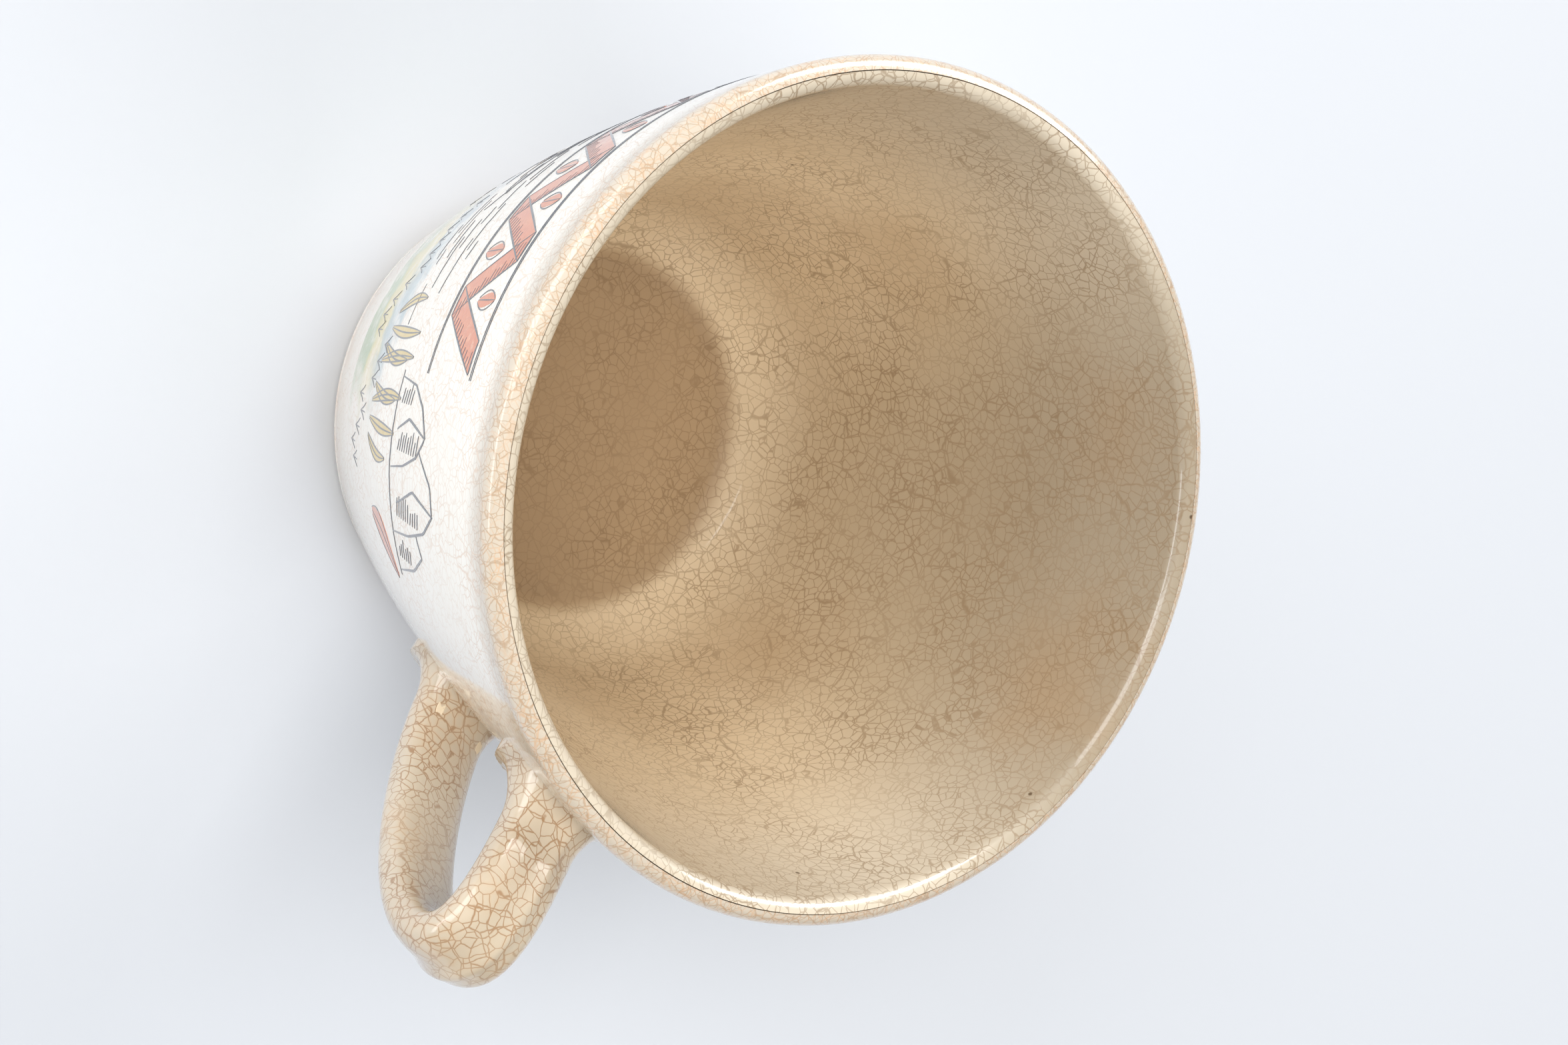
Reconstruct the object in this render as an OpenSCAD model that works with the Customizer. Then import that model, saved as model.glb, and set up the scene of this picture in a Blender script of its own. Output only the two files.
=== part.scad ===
// Earthenware mug: a rounded bowl on a foot ring, with a luted ear handle, a crazed glaze
// and an underglaze decoration. Upright on +Z, origin on the bowl's axis at table level,
// handle towards +X, decoration towards -Y.

/* [Bowl] */
// Outside diameter of the glazed rim
rim_d = 108; // [90:0.5:130]
// Height from the table to the top of the glazed lip
mug_h = 90; // [75:0.5:110]
// Outside diameter of the bowl at its heel
foot_d = 65; // [50:0.5:80]
// How far the wall bulges out from a straight cone
belly = 2.3; // [0:0.1:5]
// Thickness of the clay at the lip
lip_t = 3.2; // [2.4:0.1:5]
// Thickness of the clay wall just above the inside floor
wall_t = 5; // [3:0.1:7]
// Diameter of the inside floor
floor_d = 50.5; // [36:0.5:54]
// Height of the inside floor's edge above the table
floor_z = 13.4; // [10:0.1:18]
// How far the inside floor is dished at its middle
floor_dish = 1.2; // [0:0.1:2]
// Height over which the inside wall rounds in to the floor
hollow_h = 11.6; // [8:0.2:16]

/* [Foot ring] */
// Width of the foot ring
foot_w = 5; // [3:0.1:8]
// Depth of the recess inside the foot ring
recess_h = 4.6; // [2:0.1:6]
// Rounding at the foot ring's two edges
foot_round = 1; // [0.5:0.1:1.5]

/* [Handle] */
// How far the handle's upper root lies below the top of the lip
root_drop = 12.4; // [10:0.2:18]
// Height from the handle's lower root to its upper root
roots_apart = 35; // [28:0.5:42]
// How far the strap's middle line stands out from its upper root
handle_reach = 22.5; // [18:0.5:32]
// How far the knuckle lies above the upper root
knuckle_rise = 3.9; // [0:0.1:5]
// Width of the strap at the top
strap_w_top = 10.4; // [8:0.1:16]
// Width of the strap at the bottom
strap_w_bottom = 11.6; // [8:0.1:16]
// Thickness of the strap
strap_t = 5; // [4:0.1:7]
// How far the slip spreads along the strap from the wall
slip_run = 4.5; // [3:0.1:7]
// How far the slip spreads beyond the strap's sides at the wall
slip_spread = 2; // [1:0.1:3]

/* [Glaze] */
// Thickness of the fired glaze
glaze_t = 0.3; // [0.2:0.05:0.6]
// Height at which the outer glaze is wiped off above the table
glaze_start_z = 3; // [2.5:0.1:6]

/* [Decoration] */
// Thickness of the printed and painted colour under the glaze
colour_t = 0.1; // [0.05:0.01:0.15]
// Angle of the decoration's middle around the axis, from +X
scene_angle = 265; // [255:1:275]
// Angle that the painted ground covers
ground_span = 110; // [60:1:130]
// Height of the painted ground's lower edge
ground_z = 17; // [12:0.5:20]
// Height of the painted ground
ground_h = 19; // [10:0.5:22]
// Number of strokes in the zigzag ribbon
ribbon_strokes = 8; // [4:1:9]
// Angle from one ribbon stroke to the next
ribbon_pitch = 8; // [6:0.5:9]
// Width of the ribbon
ribbon_w = 3.6; // [2:0.1:4]
// How far the ribbon's upper corners lie below the top of the lip
ribbon_drop = 14; // [10:0.5:16]
// Height of the ribbon from its lower to its upper corners
ribbon_h = 14; // [8:0.5:16]
// Number of printed water lines
water_lines = 5; // [1:1:6]
// Height of one printed line
ink_h = 0.5; // [0.3:0.1:0.8]
// Bare height between the water lines and the painting below and above them
water_gap = 3; // [1:0.5:4]

/* [Hidden] */

$fn = 96;
bisque = [0.93, 0.87, 0.76];
cream = [0.97, 0.94, 0.87];
glassy = [0.94, 0.89, 0.79];

// The clay's own sizes are the glazed sizes less the glaze.
rim_r = rim_d / 2 - glaze_t;
lip_r = lip_t / 2;
lip_z = mug_h - glaze_t - lip_r;
heel_z = foot_round;
heel_r = foot_d / 2 - glaze_t;
floor_r = floor_d / 2;
hollow_z = floor_z + hollow_h;
ring_in_r = heel_r - foot_w;
lean = 8;        // lip's arc runs this many degrees past level on both sides
wall_steps = 14;
lip_steps = 14;
hollow_steps = 7;

// Outer radius of the clay at a height: a cone plus a parabola that swells by belly.
function share(z) = (z - heel_z) / (lip_z - heel_z);
function outer_r(z) = heel_r + (rim_r - heel_r) * share(z) + 4 * belly * share(z) * (1 - share(z));

// Inner radius: the wall thins evenly from wall_t at the floor to lip_t at the lip.
function wall_at(z) = lip_t + (wall_t - lip_t) * (lip_z - z) / (lip_z - floor_z);
function inner_r(z) = outer_r(z) - wall_at(z);

function bezier2(a, b, c, t) = (1 - t) * (1 - t) * a + 2 * (1 - t) * t * b + t * t * c;
function bezier3(a, b, c, d, t) =
    pow(1 - t, 3) * a + 3 * (1 - t) * (1 - t) * t * b + 3 * (1 - t) * t * t * c + pow(t, 3) * d;

lip_low_z = lip_z - lip_r * sin(lean);
outer_wall = [for (i = [0:wall_steps - 1])
    let (z = heel_z + (lip_low_z - heel_z) * i / wall_steps) [outer_r(z), z]];
lip_arc = [for (i = [0:lip_steps])
    let (a = -lean + (180 + 2 * lean) * i / lip_steps)
    [rim_r - lip_r + lip_r * cos(a), lip_z + lip_r * sin(a)]];
whole_wall = concat(outer_wall, [lip_arc[0]]);
inner_wall = [for (i = [1:wall_steps])
    let (z = lip_low_z - (lip_low_z - hollow_z) * i / wall_steps) [inner_r(z), z]];
bend_share = 0.3;  // how high in the hollow its curve's corner lies
hollow_bend = [inner_r(hollow_z) - (inner_r(hollow_z + 1) - inner_r(hollow_z)) * hollow_h * (1 - bend_share),
               floor_z + hollow_h * bend_share];
hollow = [for (i = [1:hollow_steps])
    bezier2([inner_r(hollow_z), hollow_z], hollow_bend, [floor_r, floor_z], i / hollow_steps)];
floor_line = [for (i = [1:6]) let (s = 1 - i / 6) [floor_r * s, floor_z - floor_dish * (1 - s * s)]];

function rounding(r, z, from, step, to) =
    [for (a = [from:step:to]) [r + foot_round * cos(a), z + foot_round * sin(a)]];
foot_ring = concat(
    [[0, recess_h]],
    rounding(ring_in_r - foot_round, recess_h - foot_round, 90, -30, 0),
    rounding(ring_in_r + foot_round, foot_round, 180, 30, 270),
    rounding(heel_r - foot_round, foot_round, 270, 30, 330));

// The open line is moved sideways by d, each point along the normal of its two neighbours.
function normal_at(p, i) =
    let (a = p[max(i - 1, 0)], b = p[min(i + 1, len(p) - 1)], v = (b - a) / norm(b - a)) [v[1], -v[0]];
function shifted(p, d) = [for (i = [0:len(p) - 1]) let (q = p[i] + d * normal_at(p, i)) [max(q[0], 0), q[1]]];
function reversed(p) = [for (i = [len(p) - 1:-1:0]) p[i]];

// The stretch of the outer wall between two heights, with the wall's own corners in between.
corner_gap = 0.01;
function wall_x(z) = lookup(z, [for (p = whole_wall) [p[1], p[0]]]);
function stretch(low, high) = concat(
    [[wall_x(low), low]],
    [for (p = whole_wall) if (p[1] > low + corner_gap && p[1] < high - corner_gap) p],
    [[wall_x(high), high]]);

// The lip's top is where the inner and the outer glaze meet.
crest = floor(lip_steps / 2);
inside_line = concat([for (i = [crest:lip_steps]) lip_arc[i]], inner_wall, hollow, floor_line);
outside_line = concat(stretch(glaze_start_z, lip_low_z), [for (i = [1:crest]) lip_arc[i]]);

// The handle's middle line: over from the upper root to the knuckle, then down to the lower root.
// Its points stand closer together towards the wall, where the slip swells.
sink = 2;        // how far the strap's ends are drawn into the wall before they are trimmed
inwards = [sink, sink * 0.4];
crowding = 1.5;
root_top_z = mug_h - root_drop;
root_bottom_z = root_top_z - roots_apart;
upper_root = [outer_r(root_top_z), root_top_z];
lower_root = [outer_r(root_bottom_z), root_bottom_z];
knuckle = upper_root + [handle_reach, knuckle_rise];
over_steps = 16;
down_steps = 18;
handle_line = concat(
    [for (i = [0:over_steps]) bezier3(upper_root - inwards, upper_root + handle_reach * [0.25, 0.12],
        knuckle + handle_reach * [-0.09, 0.36], knuckle, pow(i / over_steps, crowding))],
    [for (i = [1:down_steps]) bezier3(knuckle, knuckle + roots_apart * [0.07, -0.3],
        lower_root + handle_reach * [0.55, 0.2], lower_root - inwards,
        1 - pow(1 - i / down_steps, crowding))]);
ends = len(handle_line) - 1;

// One ring of the strap's section: an oblong with round ends, width along Y, thickness across the
// line, grown by extra all round.
sides = 20;
function strap_w(i) = strap_w_top + (strap_w_bottom - strap_w_top) * i / ends;
function section_point(i, k, extra) =
    let (n = normal_at(handle_line, i),
         a = 360 * (k + 0.5) / sides,
         across = (strap_t / 2 + extra) * sin(a),
         along = (strap_t / 2 + extra) * cos(a) + (strap_w(i) - strap_t) / 2 * sign(cos(a)))
    [handle_line[i][0] + n[0] * across, along, handle_line[i][1] + n[1] * across];

// Slip swells the section by slip_spread at the wall and by nothing slip_run away from it.
slip_edge = 0.1;
function gap(p) = norm([p[0], p[1]]) - outer_r(p[2]);
function near(p) = min(1, max(0, 1 - gap(p) / slip_run));
function has_slip(i) = i <= upper_slip_end || i >= lower_slip_end;
function swell(i, k) =
    has_slip(i) ? slip_edge + slip_spread * pow(near(section_point(i, k, 0)), 2) : 0;
function nearest(i) = max([for (k = [0:sides - 1]) near(section_point(i, k, 0))]);
upper_slip_end = max([for (i = [0:over_steps]) if (nearest(i) > 0) i]);
lower_slip_end = min([for (i = [over_steps:ends]) if (nearest(i) > 0) i]);

function strap_ring(i) = [for (k = [0:sides - 1]) section_point(i, k, 0)];
function slip_ring(i) = [for (k = [0:sides - 1]) section_point(i, k, swell(i, k))];
function glaze_ring(i) = [for (k = [0:sides - 1]) section_point(i, k, swell(i, k) + glaze_t)];

// Two triangles for each quad between ring a and ring b, which start at those points.
function band(a, b) = [for (k = [0:sides - 1])
    let (m = (k + 1) % sides) each [[a + k, b + k, b + m], [a + k, b + m, a + m]]];

// A solid bar over a list of rings.
module bar(rings) {
    last = len(rings) - 1;
    polyhedron(
        points = [for (r = rings) each r],
        faces = concat(
            [[for (k = [0:sides - 1]) k]],
            [for (i = [0:last - 1]) each band(i * sides, (i + 1) * sides)],
            [[for (k = [sides - 1:-1:0]) last * sides + k]]),
        convexity = 6);
}

// A sleeve between a list of outer rings and a list of inner ones.
module sleeve(outer, inner) {
    n = len(outer);
    last = n - 1;
    polyhedron(
        points = concat([for (r = outer) each r], [for (r = inner) each r]),
        faces = concat(
            [for (i = [0:last - 1]) each band(i * sides, (i + 1) * sides)],
            [for (i = [0:last - 1]) for (f = band((n + i) * sides, (n + i + 1) * sides)) reversed(f)],
            band(n * sides, 0),
            band(last * sides, (n + last) * sides)),
        convexity = 8);
}

// The clay bowl without its hollow, which trims whatever is luted on to it.
module bowl_core() {
    rotate_extrude() polygon(concat([[0, heel_z]], whole_wall, [[0, lip_low_z]]));
}

// A thin skin on the outside of the clay, between two heights and over an angle.
module skin(z_low, z_high, from, span) {
    line = stretch(z_low, z_high);
    rotate([0, 0, from]) rotate_extrude(angle = span)
        polygon(concat([for (p = line) p + [colour_t, 0]], reversed(line)));
}

module painted_colours() {
    painted_ribbon();
    painted_ground();
    water_line_print();
}

module body() {
    color(bisque) rotate_extrude()
        polygon(concat(foot_ring, outer_wall, lip_arc, inner_wall, hollow, floor_line));
}

module handle() {
    color(cream) difference() {
        bar([for (i = [0:ends]) strap_ring(i)]);
        bowl_core();
    }
}

// Slip between two places on the handle's line.
module slip_joint(from, to) {
    color(cream) difference() {
        sleeve([for (i = [from:to]) slip_ring(i)], [for (i = [from:to]) strap_ring(i)]);
        bowl_core();
    }
}

module upper_slip_joint() {
    slip_joint(0, upper_slip_end);
}

module lower_slip_joint() {
    slip_joint(lower_slip_end, ends);
}

module inner_glaze() {
    color(glassy) rotate_extrude() polygon(concat(inside_line, reversed(shifted(inside_line, glaze_t))));
}

// The opening that a glazed root leaves in the bowl's glaze: the swollen section, along the strap.
window_play = 0.2;
module root_window(root, towards, w) {
    r = strap_t / 2 + slip_spread + slip_edge + glaze_t + window_play;
    rise = atan2(towards[1] - root[1], towards[0] - root[0]);
    translate([root[0], 0, root[1]]) rotate([0, 90 - rise, 0]) translate([0, 0, -2 * sink])
        linear_extrude(6 * sink) union() {
            for (side = [-1, 1]) translate([0, side * (w - strap_t) / 2]) circle(r);
            square([2 * r, w - strap_t], center = true);
        }
}

module outer_glaze() {
    color(glassy) difference() {
        rotate_extrude() polygon(concat(outside_line, reversed(shifted(outside_line, glaze_t))));
        root_window(upper_root, handle_line[upper_slip_end], strap_w_top);
        root_window(lower_root, handle_line[lower_slip_end], strap_w_bottom);
        painted_colours();
    }
}

module handle_glaze() {
    color(glassy) difference() {
        sleeve([for (i = [0:ends]) glaze_ring(i)], [for (i = [0:ends]) slip_ring(i)]);
        bowl_core();
    }
}

ribbon_z = mug_h - ribbon_drop - ribbon_h;
ground_top_z = ground_z + ground_h;
water_z = ground_top_z + water_gap;
water_step = (ribbon_z - water_gap - ink_h - water_z) / max(water_lines - 1, 1);

// Folded ribbon: strokes that lean left and right in turn, laid on the wall.
cutter_depth = 30;
module painted_ribbon() {
    pitch_arc = outer_r(ribbon_z) * ribbon_pitch * PI / 180;
    color([0.93, 0.47, 0.27]) intersection() {
        skin(ribbon_z, ribbon_z + ribbon_h, scene_angle - 90, 180);
        for (i = [0:ribbon_strokes - 1])
            rotate([0, 0, scene_angle + (i - (ribbon_strokes - 1) / 2) * ribbon_pitch])
                translate([rim_r, 0, ribbon_z + ribbon_h / 2])
                rotate([(i % 2 == 0 ? 1 : -1) * atan(pitch_arc / ribbon_h), 0, 0])
                cube([cutter_depth, ribbon_w, 3 * ribbon_h], center = true);
    }
}

module painted_ground() {
    color([0.72, 0.82, 0.62]) skin(ground_z, ground_top_z, scene_angle - ground_span / 2, ground_span);
}

// Water: level strokes, each shorter than the one below it.
lowest_share = 0.7;  // of the painted ground's angle
share_step = 0.09;
module water_line_print() {
    color([0.25, 0.28, 0.35]) for (i = [0:water_lines - 1]) {
        span = ground_span * (lowest_share - share_step * i);
        z = water_z + water_step * i;
        skin(z, z + ink_h, scene_angle - span / 2, span);
    }
}

body();
handle();
upper_slip_joint();
lower_slip_joint();
inner_glaze();
outer_glaze();
handle_glaze();
painted_ribbon();
painted_ground();
water_line_print();
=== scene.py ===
import bpy
import numpy as np
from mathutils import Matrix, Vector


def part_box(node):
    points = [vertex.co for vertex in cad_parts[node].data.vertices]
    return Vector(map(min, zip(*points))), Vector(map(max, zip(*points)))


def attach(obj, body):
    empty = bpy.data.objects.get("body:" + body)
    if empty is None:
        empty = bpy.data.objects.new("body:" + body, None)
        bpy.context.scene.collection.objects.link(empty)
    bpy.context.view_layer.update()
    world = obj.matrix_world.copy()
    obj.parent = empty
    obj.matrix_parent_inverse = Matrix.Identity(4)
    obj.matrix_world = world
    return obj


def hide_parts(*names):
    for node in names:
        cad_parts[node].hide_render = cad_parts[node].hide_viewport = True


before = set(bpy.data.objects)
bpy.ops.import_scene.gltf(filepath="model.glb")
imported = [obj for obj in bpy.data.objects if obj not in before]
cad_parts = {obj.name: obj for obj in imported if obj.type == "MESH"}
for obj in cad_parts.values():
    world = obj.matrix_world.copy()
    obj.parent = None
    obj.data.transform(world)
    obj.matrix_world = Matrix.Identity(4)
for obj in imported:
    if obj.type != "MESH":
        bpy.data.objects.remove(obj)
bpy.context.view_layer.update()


# ---------------------------------------------------------------- Bowl
# Cream earthenware, turned to a round bowl with a rolled lip and a low foot ring.
# The foot ring is the only clay left bare, so it shows the fired body's fine grain.

clay_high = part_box("body")[1]
GLAZE_T = 0.0003
FOOT_D = 0.065
BELLY = 0.0023
LIP_R = 0.0016
WALL_T = 0.005
HEEL_Z = 0.001
RIM_R = clay_high.x
LIP_Z = clay_high.z - LIP_R
HEEL_R = FOOT_D / 2 - GLAZE_T
FLOOR_R = 0.02525
FLOOR_Z = 0.0134
FLOOR_DISH = 0.0012
HOLLOW_H = 0.0116


def clay_r(z):
    """Outer radius of the clay at a height: a cone plus a parabola that swells by BELLY."""
    share = (z - HEEL_Z) / (LIP_Z - HEEL_Z)
    return HEEL_R + (RIM_R - HEEL_R) * share + 4 * BELLY * share * (1 - share)


def hollow_r(z):
    """Inner radius: the wall thins evenly from WALL_T at the floor to the lip's thickness."""
    return clay_r(z) - 2 * LIP_R - (WALL_T - 2 * LIP_R) * (LIP_Z - z) / (LIP_Z - FLOOR_Z)


def unevenness(angle, z):
    """Radial waviness of the turned wall, up to a tenth of a millimetre, growing with height."""
    rise = np.clip(z / LIP_Z, 0, 1)
    return rise * (0.00006 * np.sin(2 * angle + 1.1) + 0.00003 * np.sin(3 * angle - 55 * z + 0.4))


def node(tree, kind, inputs=None, **settings):
    """A shader node with its settings; an input is a plain value or another node's output."""
    made = tree.nodes.new("ShaderNode" + kind)
    for key, value in settings.items():
        setattr(made, key, value)
    for key, value in (inputs or {}).items():
        if isinstance(value, bpy.types.NodeSocket):
            tree.links.new(value, made.inputs[key])
        else:
            made.inputs[key].default_value = value
    return made


def place_of(tree):
    """The piece's own coordinates in metres, which are the frame's."""
    return node(tree, "TexCoord").outputs["Object"]


def spread(tree, value, low, high, at_low=0.0, at_high=1.0):
    """value from low to high becomes at_low to at_high, with a soft start and end."""
    return node(tree, "MapRange", {0: value, 1: low, 2: high, 3: at_low, 4: at_high},
                interpolation_type="SMOOTHSTEP").outputs[0]


def cloud(tree, place, size, detail=3.0):
    """Soft noise from 0 to 1 with patches about size metres across."""
    return node(tree, "TexNoise", {"Vector": place, "Scale": 1 / size, "Detail": detail}).outputs[0]


def product(tree, a, b):
    """Two shares multiplied."""
    return node(tree, "Math", {0: a, 1: b}, operation="MULTIPLY").outputs[0]


def paint(tree, share, under, over, blend="MIX"):
    """The colour over laid on the colour under, by a share from 0 to 1."""
    mixed = node(tree, "Mix", {0: share, 6: under, 7: over}, data_type="RGBA", blend_type=blend)
    return mixed.outputs[2]


def new_material(name):
    """A new material with its node tree and its main shader."""
    made = bpy.data.materials.new(name)
    made.use_nodes = True
    return made, made.node_tree, made.node_tree.nodes["Principled BSDF"]


def bisque_material():
    """Bare fired clay: matt, buff, with fine grit and a darker tone where it has been handled."""
    made, tree, shader = new_material("bisque clay")
    place = place_of(tree)
    colour = paint(tree, cloud(tree, place, 0.009), (0.60, 0.47, 0.31, 1), (0.75, 0.63, 0.46, 1))
    grit = spread(tree, cloud(tree, place, 0.0005, 2), 0.62, 0.72)
    colour = paint(tree, product(tree, grit, 0.5), colour, (0.30, 0.20, 0.11, 1))
    tree.links.new(colour, shader.inputs["Base Color"])
    tree.links.new(spread(tree, cloud(tree, place, 0.002), 0.3, 0.7, 0.7, 0.9), shader.inputs["Roughness"])
    bump = node(tree, "Bump", {"Strength": 0.5, "Distance": 0.00008, "Height": cloud(tree, place, 0.0006)})
    tree.links.new(bump.outputs[0], shader.inputs["Normal"])
    return made


bisque = bisque_material()
for part in ("body", "handle", "upper_slip_joint", "lower_slip_joint"):
    clay_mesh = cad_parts[part].data
    clay_mesh.materials.clear()
    clay_mesh.materials.append(bisque)


# ---------------------------------------------------------------- Inner glaze
# Lead-type clear glaze, poured in and swilled round: glossy, stained tan by use,
# and crazed all over into cells about a millimetre across.

CREST = np.pi / 2
LEAN = np.radians(8)


def turned(name, line, steps=256, joined=False):
    """A profile line of (radius, height) points turned about Z; joined closes it into a ring."""
    angle = np.linspace(0, 2 * np.pi, steps, endpoint=False)
    radius, height = line[:, :1], line[:, 1:] + 0 * angle
    radius = radius + unevenness(angle, height) * np.clip(radius / FLOOR_R, 0, 1)
    return skin(name, np.stack([radius * np.cos(angle), radius * np.sin(angle), height], -1), joined)


def skin(name, rings, joined=False):
    """Quads over a stack of closed rings; joined ties the last ring to the first, or else fans cap both.
    The rings are turned round where their quads would enclose a negative volume."""
    count, around = rings.shape[:2]
    corner = np.arange(count * around).reshape(count, around)
    below = corner if joined else corner[:-1]
    above = np.roll(corner, -1, 0) if joined else corner[1:]
    quads = np.stack([below, np.roll(below, -1, 1), np.roll(above, -1, 1), above], -1).reshape(-1, 4)
    a, b, c, d = (rings.reshape(-1, 3)[quads[:, k]] for k in range(4))
    if (a * np.cross(b, c) + a * np.cross(c, d)).sum() < 0:
        rings = rings[:, ::-1]
    points, faces = rings.reshape(-1, 3), quads.tolist()
    if not joined:
        points = np.vstack([points, rings[0].mean(0), rings[-1].mean(0)])
        first, last = corner[0], corner[-1]
        start, end = np.full(around, count * around), np.full(around, count * around + 1)
        faces += np.stack([start, np.roll(first, -1), first], -1).tolist()
        faces += np.stack([end, last, np.roll(last, -1)], -1).tolist()
    made = bpy.data.meshes.new(name)
    made.from_pydata(points.tolist(), [], faces)
    made.shade_smooth()
    made.set_sharp_from_angle(angle=np.radians(50))
    piece = bpy.data.objects.new(name, made)
    bpy.context.scene.collection.objects.link(piece)
    return piece


def evened(line, step, soften):
    """The line resampled to even steps, then rounded by a moving average soften metres wide."""
    run = np.concatenate([[0], np.cumsum(np.linalg.norm(np.diff(line, axis=0), axis=1))])
    at = np.linspace(0, run[-1], int(run[-1] / step))
    even = np.stack([np.interp(at, run, line[:, 0]), np.interp(at, run, line[:, 1])], -1)
    half = max(int(soften / step / 2), 1)
    padded = np.vstack([2 * even[0] - even[half:0:-1], even, 2 * even[-1] - even[-2:-half - 2:-1]])
    window = np.ones(2 * half + 1) / (2 * half + 1)
    return np.stack([np.convolve(padded[:, k], window, "valid") for k in (0, 1)], -1)


def raised(line, thickness):
    """The line moved along its own right-hand normal."""
    way = np.gradient(line, axis=0)
    way /= np.linalg.norm(way, axis=1, keepdims=True)
    return line + np.stack([way[:, 1], -way[:, 0]], -1) * np.asarray(thickness).reshape(-1, 1)


def lip(low, high, count):
    """Points of the clay lip's arc between two angles from the level."""
    turn = np.linspace(low, high, count)
    return np.stack([RIM_R - LIP_R + LIP_R * np.cos(turn), LIP_Z + LIP_R * np.sin(turn)], -1)


def inside_line():
    """From the middle of the floor over the hollow and up the wall to the lip's crest."""
    out = np.linspace(0.01, 1, 60)
    dished = np.stack([FLOOR_R * out, FLOOR_Z - FLOOR_DISH * (1 - out ** 2)], -1)
    top = FLOOR_Z + HOLLOW_H
    lean = (hollow_r(top + 0.001) - hollow_r(top)) / 0.001
    start, end = np.array([hollow_r(top), top]), np.array([FLOOR_R, FLOOR_Z])
    bend = np.array([start[0] - lean * HOLLOW_H * 0.7, FLOOR_Z + HOLLOW_H * 0.3])
    turn = np.linspace(0, 1, 60)[:, None]
    rounding = turn ** 2 * start + 2 * turn * (1 - turn) * bend + (1 - turn) ** 2 * end
    height = np.linspace(top, LIP_Z - LIP_R * np.sin(LEAN), 120)[1:-1]
    wall = np.stack([hollow_r(height), height], -1)
    return np.vstack([dished, rounding[1:], wall, lip(np.pi + LEAN, CREST, 60)])


def crazing(tree, place, cell, reach=1.0):
    """How near a crack is, 1 on it: bent Voronoi cell edges in two sizes, thinner in the finer one."""
    bend = node(tree, "TexNoise", {"Vector": place, "Scale": 0.8 / cell, "Detail": 2.0}).outputs["Color"]
    pushed = node(tree, "VectorMath", {0: bend, 1: (0.45 * cell,) * 3}, operation="MULTIPLY").outputs[0]
    bent = node(tree, "VectorMath", {0: place, 1: pushed}, operation="ADD").outputs[0]
    fine = node(tree, "TexVoronoi", {"Vector": bent, "Scale": 1 / cell},
                feature="DISTANCE_TO_EDGE").outputs["Distance"]
    broad = node(tree, "TexVoronoi", {"Vector": bent, "Scale": 0.37 / cell},
                 feature="DISTANCE_TO_EDGE").outputs["Distance"]
    cracks = spread(tree, fine, 0.005, 0.075 * reach, 1, 0)
    wide_cracks = spread(tree, broad, 0.003, 0.036 * reach, 1, 0)
    return node(tree, "Math", {0: cracks, 1: wide_cracks}, operation="MAXIMUM").outputs[0], fine


def stain(tree, place, centre, size):
    """A ragged patch of brown about a point: 1 at its middle, 0 at size metres."""
    ragged = cloud(tree, place, 0.008, 4)
    away = node(tree, "VectorMath", {0: place, 1: centre}, operation="DISTANCE").outputs["Value"]
    worn = node(tree, "Math", {0: ragged, 1: size, 2: away}, operation="MULTIPLY_ADD").outputs[0]
    return spread(tree, worn, 0.45 * size, 1.45 * size, 1, 0)


def finish_glaze(tree, shader, place, colour, crack, wave=0.00005):
    """The gloss over a coloured, cracked coat: a clear top and cracks that catch the light."""
    tree.links.new(colour, shader.inputs["Base Color"])
    shader.inputs["Roughness"].default_value = 0.3
    shader.inputs["IOR"].default_value = 1.5
    shader.inputs["Coat Weight"].default_value = 1.0
    shader.inputs["Coat Roughness"].default_value = 0.045
    shader.inputs["Coat IOR"].default_value = 1.5
    soft = node(tree, "Bump", {"Strength": 0.35, "Distance": wave, "Height": cloud(tree, place, 0.007, 2)})
    fine = node(tree, "Bump", {"Strength": 0.35, "Distance": 0.00003, "Height": crack,
                               "Normal": soft.outputs[0]}, invert=True)
    tree.links.new(fine.outputs[0], shader.inputs["Normal"])
    tree.links.new(soft.outputs[0], shader.inputs["Coat Normal"])


# Direction of the inner wall's side turned away from the key light, which gets painted shade.
SHADED_SIDE_WAY = (-0.5, 0.87, 0)
TEA_STAINS = (  # middle, size and depth of each
    ((-0.008, 0.046, 0.080), 0.020, 0.40),
    ((0.005, 0.039, 0.034), 0.018, 0.35),
    ((-0.041, 0.002, 0.050), 0.015, 0.30),
    ((-0.039, 0.029, 0.078), 0.014, 0.25),
)


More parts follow.
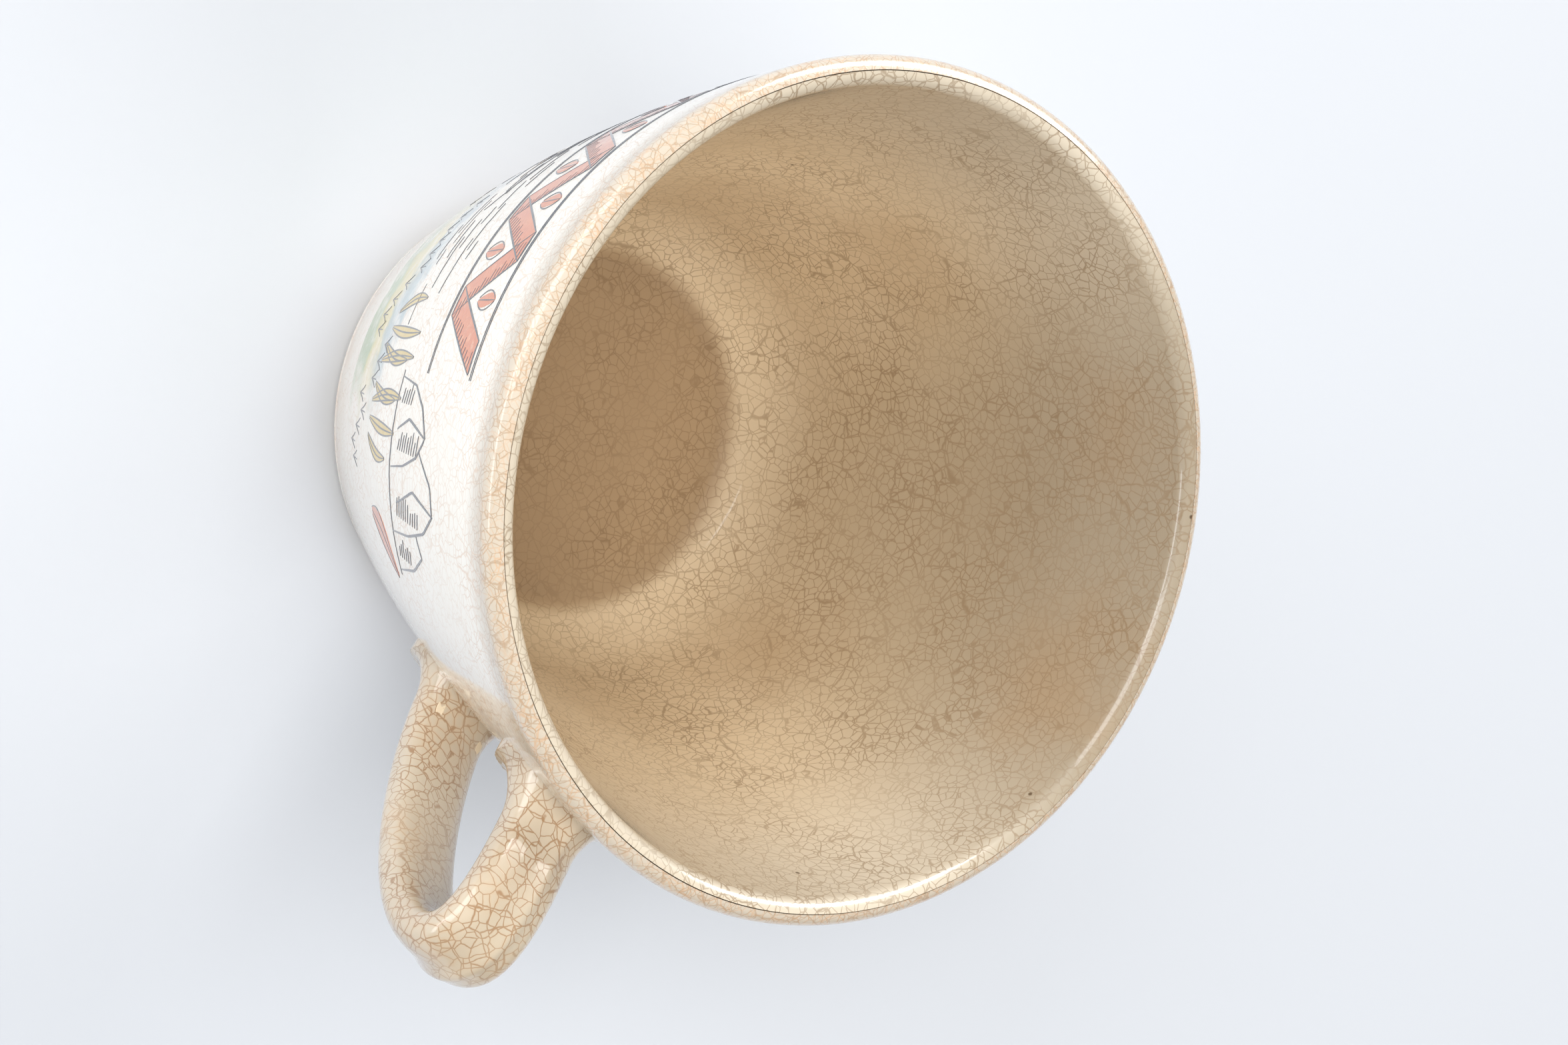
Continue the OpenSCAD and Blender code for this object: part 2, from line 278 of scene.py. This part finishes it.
def inner_glaze_material():
    """Tan that is brownest on the floor, with painted shade on the side of the wall turned away from the
    key light, and with tea stains, crazing and pinholes.
    """
    made, tree, shader = new_material("inner glaze")
    place = place_of(tree)
    height = node(tree, "SeparateXYZ", {0: place}).outputs[2]
    patchy = cloud(tree, place, 0.018, 4)
    floor_tone = paint(tree, patchy, (0.37, 0.25, 0.14, 1), (0.44, 0.31, 0.18, 1))
    wall_tone = paint(tree, patchy, (0.66, 0.505, 0.315, 1), (0.77, 0.625, 0.435, 1))
    colour = paint(tree, spread(tree, height, FLOOR_Z + 0.0004, FLOOR_Z + 0.0022), floor_tone, wall_tone)
    colour = paint(tree, spread(tree, height, 0.045, LIP_Z), colour, (0.64, 0.56, 0.44, 1))
    # Painted shade: the side of the inner wall turned away from the key light is darkened to dark brown.
    shaded_side_share = node(tree, "VectorMath", {0: place, 1: SHADED_SIDE_WAY}, operation="DOT_PRODUCT").outputs["Value"]
    colour = paint(tree, spread(tree, shaded_side_share, 0.018, 0.050, 0, 0.75), colour, (0.25, 0.195, 0.13, 1))
    for centre, size, depth in TEA_STAINS:
        share = product(tree, stain(tree, place, centre, size), depth)
        colour = paint(tree, share, colour, (0.36, 0.215, 0.095, 1))
    crack, _ = crazing(tree, place, 0.0014)
    depth = spread(tree, cloud(tree, place, 0.012), 0.3, 0.7, 0.25, 0.65)
    colour = paint(tree, product(tree, crack, depth), colour, (0.24, 0.15, 0.075, 1))
    speck = node(tree, "TexVoronoi", {"Vector": place, "Scale": 75.0}).outputs["Distance"]
    colour = paint(tree, spread(tree, speck, 0.012, 0.03, 0.9, 0), colour, (0.08, 0.045, 0.02, 1))
    finish_glaze(tree, shader, place, colour, crack)
    return made


inside = evened(inside_line(), 0.0004, 0.0012)
inside = np.vstack([raised(inside, -GLAZE_T), inside[::-8]])
inner_coat = turned("inner_glaze_coat", inside)
inner_coat.data.materials.append(inner_glaze_material())
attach(inner_coat, "root")
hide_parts("inner_glaze")


# ---------------------------------------------------------------- Outer glaze
# The same clear glaze over the outside, paler because the white ground shows through,
# wiped off above the foot ring, where it ends in a thin rounded bead.

WIPED_Z = 0.003
BEAD_RUN = 0.0009


def outside_line():
    """From the wiped edge up the wall and over the lip to its crest."""
    height = np.linspace(WIPED_Z, LIP_Z - LIP_R * np.sin(LEAN), 160)
    return np.vstack([np.stack([clay_r(height), height], -1), lip(-LEAN, CREST, 60)[1:]])


def outer_colour(tree, place):
    """Cream with faint orange crazing, browner cracks at the lip and a blush towards the foot."""
    height = node(tree, "SeparateXYZ", {0: place}).outputs[2]
    colour = paint(tree, cloud(tree, place, 0.020, 4), (0.88, 0.82, 0.72, 1), (0.94, 0.90, 0.82, 1))
    mottled = spread(tree, cloud(tree, place, 0.004, 5), 0.3, 0.7)
    blush = product(tree, spread(tree, height, 0.018, 0.004), mottled)
    colour = paint(tree, product(tree, blush, 0.45), colour, (0.86, 0.50, 0.28, 1))
    at_lip = spread(tree, height, LIP_Z - 0.0065, LIP_Z + 0.0005)
    colour = paint(tree, product(tree, at_lip, 0.85), colour, (0.52, 0.44, 0.34, 1))
    crack, _ = crazing(tree, place, 0.0014, 0.9)
    depth = spread(tree, cloud(tree, place, 0.010), 0.3, 0.7, 0.22, 0.55)
    colour = paint(tree, product(tree, crack, depth), colour, (0.62, 0.35, 0.17, 1))
    lip_crack, _ = crazing(tree, place, 0.0012, 0.9)
    brown = product(tree, product(tree, lip_crack, at_lip), 0.6)
    return paint(tree, brown, colour, (0.40, 0.25, 0.14, 1)), crack


def outer_glaze_material():
    made, tree, shader = new_material("outer glaze")
    place = place_of(tree)
    colour, crack = outer_colour(tree, place)
    finish_glaze(tree, shader, place, colour, crack)
    return made


outside = evened(outside_line(), 0.00045, 0.0012)
from_edge = np.linspace(0, len(outside) * 0.00045, len(outside))
bead = np.sqrt(1 - (1 - np.clip(from_edge / BEAD_RUN, 0, 1)) ** 2)
swelling = 0.3 * np.exp(-((from_edge - BEAD_RUN) / BEAD_RUN) ** 2)
outside = np.vstack([raised(outside, GLAZE_T * (bead + swelling * bead)), outside[::-8]])
outer_coat = turned("outer_glaze_coat", outside, joined=True)
outer_coat.data.materials.append(outer_glaze_material())
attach(outer_coat, "root")
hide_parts("outer_glaze")


# ---------------------------------------------------------------- Handle glaze
# A pulled strap, luted on with soft slip that swells into the bowl at both roots.
# The glaze over it is thicker and browner in its cracks, because hands have stained it; its darker base tan
# is partly painted shade.

HANDLE_REACH = 0.0225
ROOTS_APART = 0.035
ROOT_TOP_Z = 0.0776
KNUCKLE_RISE = 0.0039
STRAP_W = (0.0104, 0.0116)
STRAP_T = 0.005
SLIP_RUN = 0.0045
SLIP_SPREAD = 0.0021
FILLET = 0.0012
RIDGE_H = 0.00032
GROOVE_H = 0.00014
SUNK = 0.0012
SQUARENESS = 0.75


def swept_curve(a, b, c, d, t):
    """Cubic Bezier through a and d, pulled towards b and c."""
    t = t[:, None]
    return (1 - t) ** 3 * a + 3 * (1 - t) ** 2 * t * b + 3 * (1 - t) * t * t * c + t ** 3 * d


def handle_path(count):
    """The strap's middle line in the XZ plane, its points closer together towards the wall."""
    upper = np.array([clay_r(ROOT_TOP_Z), ROOT_TOP_Z])
    lower = np.array([clay_r(ROOT_TOP_Z - ROOTS_APART), ROOT_TOP_Z - ROOTS_APART])
    knuckle = upper + [HANDLE_REACH, KNUCKLE_RISE]
    sunk = np.array([0.002, 0.0008])
    step = np.linspace(0, 1, count)
    over = swept_curve(upper - sunk, upper + HANDLE_REACH * np.array([0.25, 0.12]),
                       knuckle + HANDLE_REACH * np.array([-0.09, 0.36]), knuckle, step ** 1.5)
    down = swept_curve(knuckle, knuckle + ROOTS_APART * np.array([0.07, -0.3]),
                       lower + HANDLE_REACH * np.array([0.55, 0.2]), lower - sunk, 1 - (1 - step) ** 1.5)
    return np.vstack([over, down[1:]])


def handle_rings(count=110, sides=96):
    """Rounded-oblong sections along the path, with a soft ridge on the outer face and slip at the wall."""
    path = handle_path(count)
    way = np.gradient(path, axis=0)
    way /= np.linalg.norm(way, axis=1, keepdims=True)
    across = np.stack([-way[:, 1], 0 * way[:, 0], way[:, 0]], -1)
    along = np.linspace(0, 1, len(path))[:, None]
    turn = np.linspace(0, 2 * np.pi, sides, endpoint=False)
    half_w = (STRAP_W[0] + (STRAP_W[1] - STRAP_W[0]) * along) / 2 + GLAZE_T
    half_t = STRAP_T / 2 + GLAZE_T + 0 * along
    side = np.sign(np.cos(turn)) * np.abs(np.cos(turn)) ** SQUARENESS
    face = np.sign(np.sin(turn)) * np.abs(np.sin(turn)) ** SQUARENESS
    crease = RIDGE_H * np.exp(-((side - 0.30) / 0.16) ** 2) - GROOVE_H * np.exp(-((side + 0.2) / 0.3) ** 2)
    ridge = np.where(face > 0, crease, 0)
    y, n = half_w * side, half_t * face + ridge * np.sin(np.pi * along) ** 0.5
    outward = np.stack([side / half_w, face / half_t], -1)
    outward /= np.linalg.norm(outward, axis=-1, keepdims=True)
    centre = np.stack([path[:, 0], 0 * path[:, 0], path[:, 1]], -1)[:, None]

    def placed(y, n):
        return centre + n[..., None] * across[:, None] + y[..., None] * np.array([0, 1, 0])

    def gap(points):
        return np.hypot(points[..., 0], points[..., 1]) - clay_r(points[..., 2])

    away = np.clip(gap(placed(y, n)) - GLAZE_T, 0, None)
    thumbed = np.where(along < 0.5, np.clip(-side, 0, 1) ** 2, 0)
    near = np.clip(1 - away / (SLIP_RUN * (1 + 0.45 * thumbed)), 0, 1)
    rounded = FILLET - np.sqrt(FILLET ** 2 - (FILLET - np.clip(away, 0, FILLET)) ** 2)
    swell = SLIP_SPREAD * (1 + 0.35 * thumbed) * near ** 2 + rounded
    points = placed(y + swell * outward[..., 0], n + swell * outward[..., 1])
    sunk_too_deep = np.clip(-SUNK - gap(points), 0, None)
    radial = points[..., :2] / np.hypot(points[..., 0], points[..., 1])[..., None]
    points[..., :2] += radial * sunk_too_deep[..., None]
    return points


def handle_glaze_material():
    made, tree, shader = new_material("handle glaze")
    place = place_of(tree)
    # The base tan, darker than the bowl's outer glaze, is partly painted shade on the strap.
    colour = paint(tree, cloud(tree, place, 0.012, 4), (0.47, 0.375, 0.265, 1), (0.58, 0.495, 0.38, 1))
    grey = spread(tree, cloud(tree, place, 0.016, 2), 0.52, 0.72, 0, 0.35)
    colour = paint(tree, grey, colour, (0.50, 0.45, 0.36, 1))
    crack, cell = crazing(tree, place, 0.0015, 0.85)
    handled = spread(tree, cloud(tree, place, 0.009), 0.4, 0.65)
    halo = product(tree, spread(tree, cell, 0.0, 0.3, 0.22, 0), handled)
    colour = paint(tree, halo, colour, (0.55, 0.31, 0.13, 1))
    depth = spread(tree, cloud(tree, place, 0.010), 0.3, 0.7, 0.45, 0.9)
    colour = paint(tree, product(tree, crack, depth), colour, (0.30, 0.165, 0.075, 1))
    finish_glaze(tree, shader, place, colour, crack)
    return made


handle_coat = skin("handle_glaze_coat", handle_rings())
handle_coat.data.materials.append(handle_glaze_material())
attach(handle_coat, "root")
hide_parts("handle_glaze")


# ---------------------------------------------------------------- Painted ground
# Thin washes of green, yellow and blue brushed on by hand below the water line, and
# ochre reeds over them. The glaze's own cream shows through where the brush ran dry.

SCENE_ANGLE = np.radians(265)
WASH_LIFT = 0.00002
STROKE_LIFT = 0.00004
UNDER_GLAZE = -0.0001


def on_wall(angle, z, lift):
    """Points on the glazed wall at an angle and a height, lifted off it by lift."""
    radius = clay_r(z) + GLAZE_T + unevenness(angle, z) + lift
    return np.stack([radius * np.cos(angle), radius * np.sin(angle), z + 0 * angle], -1)


def patch(low_angle, high_angle, low_z, high_z, lift, steps=(120, 24)):
    """A closed slip of colour on the wall: rings run up its face and back down under the glaze."""
    angle = np.linspace(low_angle, high_angle, steps[0])[:, None]
    up = np.linspace(low_z, high_z, steps[1])[None]
    face = on_wall(angle, up + 0 * angle, lift)
    back = on_wall(angle, up[:, ::-1] + 0 * angle, UNDER_GLAZE)
    return np.concatenate([face, back], 1)


def brush(path, width, lift, level=False, across=5):
    """A closed stroke on the wall along (angle, height) points; level lays its ends along the horizon."""
    path = np.asarray(path, float)
    wall = clay_r(path[:, 1]) + GLAZE_T
    flat = np.stack([path[:, 0] * wall, path[:, 1]], -1)
    way = np.gradient(flat, axis=0)
    way /= np.linalg.norm(way, axis=1, keepdims=True) + 1e-12
    sideways = np.array([[1.0, 0.0]]) + 0 * way if level else np.stack([way[:, 1], -way[:, 0]], -1)
    share = np.linspace(-0.5, 0.5, across)
    spot = flat[:, None] + sideways[:, None] * (np.asarray(width).reshape(-1, 1) * share)[..., None]
    angle, z = spot[..., 0] / wall[:, None], spot[..., 1]
    return np.concatenate([on_wall(angle, z, lift), on_wall(angle[:, ::-1], z[:, ::-1], UNDER_GLAZE)], 1)


def gathered(name, parts, material, others=(), other_material=None):
    """One piece of many closed strokes; the strokes in others take another material."""
    pieces = [skin(name, rings) for rings in list(parts) + list(others)]
    for count, piece in enumerate(pieces):
        piece.data.materials.append(material if count < len(parts) else other_material)
    with bpy.context.temp_override(active_object=pieces[0], selected_editable_objects=pieces):
        bpy.ops.object.join()
    return pieces[0]


def wash_material():
    """The outer glaze's colour under three ragged bands of wash that fade out at both ends."""
    made, tree, shader = new_material("painted washes")
    place = place_of(tree)
    under, crack = outer_colour(tree, place)
    split = node(tree, "SeparateXYZ", {0: place})
    height = split.outputs[2]
    angle = node(tree, "Math", {0: split.outputs[1], 1: split.outputs[0]}, operation="ARCTAN2").outputs[0]
    ragged = cloud(tree, place, 0.005, 4)
    uneven = node(tree, "Math", {0: ragged, 1: 0.012, 2: height}, operation="MULTIPLY_ADD").outputs[0]
    turned_way = node(tree, "Math", {0: ragged, 1: 0.35, 2: angle}, operation="MULTIPLY_ADD").outputs[0]
    middle = SCENE_ANGLE - 2 * np.pi
    inside_ends = product(tree, spread(tree, turned_way, middle - 0.75, middle - 0.45),
                          spread(tree, turned_way, middle + 1.0, middle + 0.7))
    bands = ((0.024, 0.034, (0.18, 0.34, 0.11, 1), 0.85), (0.031, 0.041, (0.62, 0.49, 0.06, 1), 0.75),
             (0.038, 0.047, (0.17, 0.33, 0.42, 1), 0.7))
    colour = under
    for low, high, tone, depth in bands:
        band = product(tree, spread(tree, uneven, low - 0.003, low),
                       spread(tree, uneven, high, high - 0.005))
        dry = spread(tree, cloud(tree, place, 0.003, 5), 0.3, 0.55, 0.45, 1)
        share = product(tree, product(tree, band, inside_ends), product(tree, dry, depth))
        colour = paint(tree, share, colour, tone)
    finish_glaze(tree, shader, place, colour, crack)
    return made


def reed_material():
    """Ochre-yellow watercolour, thin at the edges, with the crazing over it."""
    made, tree, shader = new_material("yellow reeds")
    place = place_of(tree)
    colour = paint(tree, cloud(tree, place, 0.0020, 4), (0.60, 0.38, 0.03, 1), (0.72, 0.56, 0.16, 1))
    crack, _ = crazing(tree, place, 0.0014, 0.9)
    colour = paint(tree, product(tree, crack, 0.3), colour, (0.45, 0.28, 0.06, 1))
    finish_glaze(tree, shader, place, colour, crack)
    return made


def blade(foot, tip, width, bow):
    """A tapering leaf stroke between two (degrees, millimetres) points, bowed sideways in degrees."""
    share = np.linspace(0, 1, 18)
    angle = foot[0] + (tip[0] - foot[0]) * share + bow * np.sin(np.pi * share)
    height = foot[1] + (tip[1] - foot[1]) * share
    fullness = np.sin(np.pi * np.clip(share * 0.93 + 0.05, 0, 1)) ** 0.8
    return np.stack([np.radians(angle), height / 1000], -1), width * fullness + 0.00005


REED_FEET = (-70, -67, -64, -61, -57, -54, -51, -48)
REED_TIPS = (47, 51, 49, 52, 48, 51, 50, 46)
REED_LEAN = (-2.0, 1.0, 2.5, -1.0, 2.0, -1.5, 1.0, 2.5)
reeds = [blade((foot, 35), (foot + lean, tip), 0.0015, lean / 2)
         for foot, tip, lean in zip(REED_FEET, REED_TIPS, REED_LEAN)]
washes = [patch(SCENE_ANGLE - 0.96, SCENE_ANGLE + 0.96, 0.017, 0.043, WASH_LIFT)]
ground = gathered("painted_ground_wash", washes, wash_material(),
                  [brush(path, width, STROKE_LIFT) for path, width in reeds], reed_material())
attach(ground, "root")
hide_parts("painted_ground")


# ---------------------------------------------------------------- Painted ribbon
# A folded zigzag ribbon below the lip with a drop in each fold, and one leaf beside the
# rocks, all filled in by hand in orange-red under the glaze.

RIBBON_Z = (0.0620, 0.0760)
RIBBON_STROKES = 8
RIBBON_PITCH = np.radians(8)
RIBBON_W = np.radians(4.6)


def ribbon_stroke(i):
    """Ends of stroke i, as (angle, height) points from its lower to its upper end."""
    middle = SCENE_ANGLE + (i - (RIBBON_STROKES - 1) / 2) * RIBBON_PITCH
    lean = (1 if i % 2 else -1) * RIBBON_PITCH / 2
    return np.array([[middle - lean, RIBBON_Z[0]], [middle + lean, RIBBON_Z[1]]])


def between(ends, count=24):
    """Points at even steps from one end to the other."""
    return ends[0] + (ends[1] - ends[0]) * np.linspace(0, 1, count)[:, None]


def ribbon_material():
    """Brushed orange-red, thin and pale in places, with the crazing over it."""
    made, tree, shader = new_material("orange ribbon")
    place = place_of(tree)
    brushed = node(tree, "Mapping", {"Vector": place, "Scale": (1.0, 1.0, 0.35)}).outputs[0]
    colour = paint(tree, cloud(tree, brushed, 0.0022, 5), (0.58, 0.11, 0.03, 1), (0.72, 0.25, 0.09, 1))
    thin = spread(tree, cloud(tree, place, 0.0016, 3), 0.55, 0.75, 0, 0.30)
    colour = paint(tree, thin, colour, (0.90, 0.66, 0.44, 1))
    crack, _ = crazing(tree, place, 0.0013)
    colour = paint(tree, product(tree, crack, 0.25), colour, (0.45, 0.12, 0.04, 1))
    finish_glaze(tree, shader, place, colour, crack)
    return made


WALL_AT_RIBBON = clay_r(np.array(RIBBON_Z)).mean()
strokes = [brush(between(ribbon_stroke(i)), RIBBON_W * WALL_AT_RIBBON, STROKE_LIFT, level=True, across=7)
           for i in range(RIBBON_STROKES)]
leaf = blade((-35, 37), (-27, 48), 0.0042, -1.5)
drops = [blade((241 + 8 * i, height - 2.8), (241 + 8 * i, height + 2.8), 0.0026, 0)
         for i, height in enumerate((72.6, 65.4, 72.6, 65.4, 72.6, 65.4, 72.6))]
painted = [brush(*path, STROKE_LIFT) for path in drops + [leaf]]
ribbon = gathered("painted_zigzag_ribbon", strokes + painted, ribbon_material())
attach(ribbon, "root")
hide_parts("painted_ribbon")


# ---------------------------------------------------------------- Ink print
# Blue-black line work, transferred on to the clay before the colours: the ribbon's
# outline and hatching, ripples, hills, rocks and grass, and the leaves' edges and ribs.

INK_W = 0.00030
INK_LIFT = 0.00006
BORDER_Z = (60.4, 60.9, 77.1, 77.6)
hand = np.random.default_rng(7)


def inked(points, width=INK_W, wobble=0.00012, count=20):
    """A pen stroke through (degrees, millimetres) points, thinner at both ends and a little unsteady."""
    points = np.asarray(points, float)
    run = np.concatenate([[0], np.cumsum(np.linalg.norm(np.diff(points, axis=0), axis=1))])
    run = run + 1e-9 * np.arange(len(points))
    at = np.linspace(0, run[-1], count)
    line = np.stack([np.interp(at, run, points[:, k]) for k in (0, 1)], -1)
    line[:, 0] = np.radians(line[:, 0])
    line[:, 1] *= 0.001
    shake = np.cumsum(hand.normal(0, 1, count))
    shake -= np.linspace(shake[0], shake[-1], count)
    line[:, 1] += wobble * shake / (np.abs(shake).max() + 1e-9)
    press = 0.35 + 0.65 * np.sin(np.pi * np.linspace(0.08, 0.92, count))
    return brush(line, width * press, INK_LIFT, across=3)


def ribbon_ink():
    """Outlines of the ribbon's strokes, hatching on the shaded side of each, and two border lines."""
    made = [inked([(-130, height), (-60, height)], INK_W, 0.00004, 70) for height in BORDER_Z]
    half = RIBBON_W / 2
    for i in range(RIBBON_STROKES):
        low, high = ribbon_stroke(i)
        left, right = [-half, 0], [half, 0]
        corners = np.array([low + left, high + left, high + right, low + right, low + left])
        corners = corners * [180 / np.pi, 1000]
        made += [inked(corners[k:k + 2], INK_W * 1.2, 0.00006) for k in range(4)]
        for share in np.linspace(0.08, 0.92, 13):
            spot = low + (high - low) * share
            length = half * hand.uniform(0.5, 1.1)
            start = (spot + [half, 0]) * [180 / np.pi, 1000]
            end = (spot + [half - length, 0.0003]) * [180 / np.pi, 1000]
            made.append(inked([start, end], INK_W * 0.7, 0.00003, 6))
    return made


def ink_material():
    """Nearly black where the print is dense, blue-grey where it is thin."""
    made, tree, shader = new_material("blue-black ink")
    place = place_of(tree)
    colour = paint(tree, cloud(tree, place, 0.0012, 4), (0.010, 0.013, 0.022, 1), (0.05, 0.06, 0.09, 1))
    crack, _ = crazing(tree, place, 0.0013)
    finish_glaze(tree, shader, place, colour, crack)
    return made


def outlined(path, width):
    """Both edges and the midrib of a leaf stroke."""
    wall = clay_r(path[:, 1]) + GLAZE_T
    half = np.degrees(width / 2 / wall)
    middle = path * [180 / np.pi, 1000]
    return [inked(middle + half[:, None] * [side, 0], INK_W * 0.8, 0.00003) for side in (-1, 0, 1)]


ROCKS = (((-59, 50), (-58, 57), (-55, 62), (-51, 65), (-48, 62), (-46, 56), (-45, 50)),
         ((-49, 63), (-45, 69), (-41, 70), (-38, 66), (-36, 58), (-35, 50)),
         ((-37, 62), (-34, 64), (-31, 59), (-29, 51)), ((-60, 50), (-45, 49), (-28, 50.5)),
         ((-51, 65), (-53, 57), (-51, 52)), ((-41, 70), (-43, 61), (-40, 53)))
CREASES = ((-48, 53, 9), (-38, 53, 11), (-31.5, 52, 6), (-55, 52, 5))


def rock_ink():
    """Craggy outlines with slanting hatching down the shaded side of each rock."""
    made = [inked(line, INK_W * 1.2, 0.00025, 40) for line in ROCKS]
    for angle, foot, height in CREASES:
        for rise in np.arange(0, height, 1.1):
            start = (angle - hand.uniform(1.6, 3.4), foot + rise + 0.5)
            made.append(inked([start, (angle, foot + rise)], INK_W * 0.8, 0.00004, 8))
    return made


def shore_ink():
    """Short ripples, grass tufts and two rounded hills on the skyline."""
    made = []
    for row, height in enumerate(np.linspace(39, 55, 10)):
        start = -128 + hand.uniform(0, 20)
        while start < -72 - 0.9 * row:
            length = hand.uniform(3, 11)
            end = (start + length, height + hand.uniform(-0.6, 0.6))
            made.append(inked([(start, height), end], INK_W * 0.8))
            start += length + hand.uniform(3, 12)
    for angle in np.arange(-132, -40, 3.1):
        foot = 22 + hand.uniform(0, 12)
        for lean in (-1.6, 0.1, 1.5):
            blades = [(angle, foot), (angle + lean * 0.5, foot + 1.8), (angle + lean, foot + 3)]
            made.append(inked(blades, INK_W * 0.7, 0.00003, 8))
    sweep = np.linspace(0, 1, 24)
    for left, span, foot, rise in ((-128, 26, 44, 7), (-112, 22, 44, 5)):
        hill = np.stack([left + span * sweep, foot + rise * np.sin(np.pi * sweep) ** 0.8], -1)
        made.append(inked(hill, INK_W, 0.00015, 36))
    return made


ink = ribbon_ink() + rock_ink() + shore_ink() + outlined(*leaf)
for stroke in reeds + drops:
    ink += outlined(*stroke)
line_print = gathered("ink_line_print", ink, ink_material())
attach(line_print, "root")
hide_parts("water_line_print")


# ---------------------------------------------------------------- Stage
# A pale floor that runs out of sight, under soft boxes: a wide strip beyond the far wall, whose
# mirror image is the line of light on the lip, and larger ones in front, at the side and behind.

def floor_material():
    made, tree, shader = new_material("pale sweep")
    place = place_of(tree)
    colour = paint(tree, cloud(tree, place, 0.25, 2), (0.55, 0.575, 0.62, 1), (0.57, 0.595, 0.635, 1))
    tree.links.new(colour, shader.inputs["Base Color"])
    shader.inputs["Roughness"].default_value = 0.85
    return made


bpy.ops.mesh.primitive_plane_add(size=12)
floor = bpy.context.object
floor.name = "floor"
floor.data.materials.append(floor_material())


def soft_box(name, way, distance, size, power, colour, shiny=False, matte=False):
    """An area light that stands off in a direction and faces the bowl.
    A shiny one only shows in the gloss, and a matte one never does."""
    lamp = bpy.data.lights.new(name, "AREA")
    lamp.shape = "RECTANGLE"
    lamp.size, lamp.size_y = size
    lamp.energy = power
    lamp.color = colour
    made = bpy.data.objects.new(name, lamp)
    facing = Vector(way).normalized()
    made.location = facing * distance + Vector((0, 0, LIP_Z / 2))
    made.rotation_euler = facing.to_track_quat("Z", "Y").to_euler()
    made.visible_diffuse = not shiny
    made.visible_glossy = not matte
    bpy.context.scene.collection.objects.link(made)


WARM, COOL = (1.0, 0.985, 0.96), (0.95, 0.975, 1.0)
soft_box("key", (-0.87, -0.06, 0.48), 2.0, (2.0, 0.9), 24.0, WARM)
soft_box("key glint", (-0.87, -0.06, 0.48), 1.99, (1.8, 0.6), 30.0, WARM, shiny=True)
soft_box("front", (0.10, -0.40, 0.90), 2.0, (1.2, 1.2), 33.0, WARM, matte=True)
soft_box("side", (0.05, -0.88, 0.47), 2.0, (1.6, 1.2), 22.0, COOL)
soft_box("back", (0.30, 0.60, 0.75), 2.0, (1.4, 1.4), 21.0, WARM, matte=True)
soft_box("low", (0.55, -0.80, 0.15), 2.0, (1.6, 0.4), 9.0, COOL)
world = bpy.data.worlds.new("studio")
world.use_nodes = True
world.node_tree.nodes["Background"].inputs[0].default_value = (0.93, 0.96, 1.0, 1)
seen = node(world.node_tree, "LightPath").outputs["Is Camera Ray"]
shown = node(world.node_tree, "Math", {0: seen, 1: 0.75, 2: 0.12}, operation="MULTIPLY_ADD").outputs[0]
world.node_tree.links.new(shown, world.node_tree.nodes["Background"].inputs[1])
bpy.context.scene.world = world
bpy.context.scene.view_settings.view_transform = "Standard"


# ---------------------------------------------------------------- Camera
# Looks down into the mouth from the decorated side, rolled so that the foot points left.

AZIMUTH, ELEVATION, ROLL = np.radians([31.0, 54.7, 104.8])
DISTANCE = 0.3221
toward = np.array([np.sin(AZIMUTH) * np.cos(ELEVATION), -np.cos(AZIMUTH) * np.cos(ELEVATION),
                   np.sin(ELEVATION)])
level = np.array([np.cos(AZIMUTH), np.sin(AZIMUTH), 0.0])
upright = np.cross(toward, level)
right = np.cos(ROLL) * level + np.sin(ROLL) * upright
top = -np.sin(ROLL) * level + np.cos(ROLL) * upright
aim = np.array([0, 0, LIP_Z]) - 0.01086 * right - 0.00291 * top
view = bpy.data.cameras.new("view")
view.lens = 60
view.clip_start = 0.01
camera = bpy.data.objects.new("view", view)
spot = aim + DISTANCE * toward
camera.matrix_world = Matrix([[right[k], top[k], toward[k], spot[k]] for k in range(3)] + [[0, 0, 0, 1]])
bpy.context.scene.collection.objects.link(camera)
bpy.context.scene.camera = camera
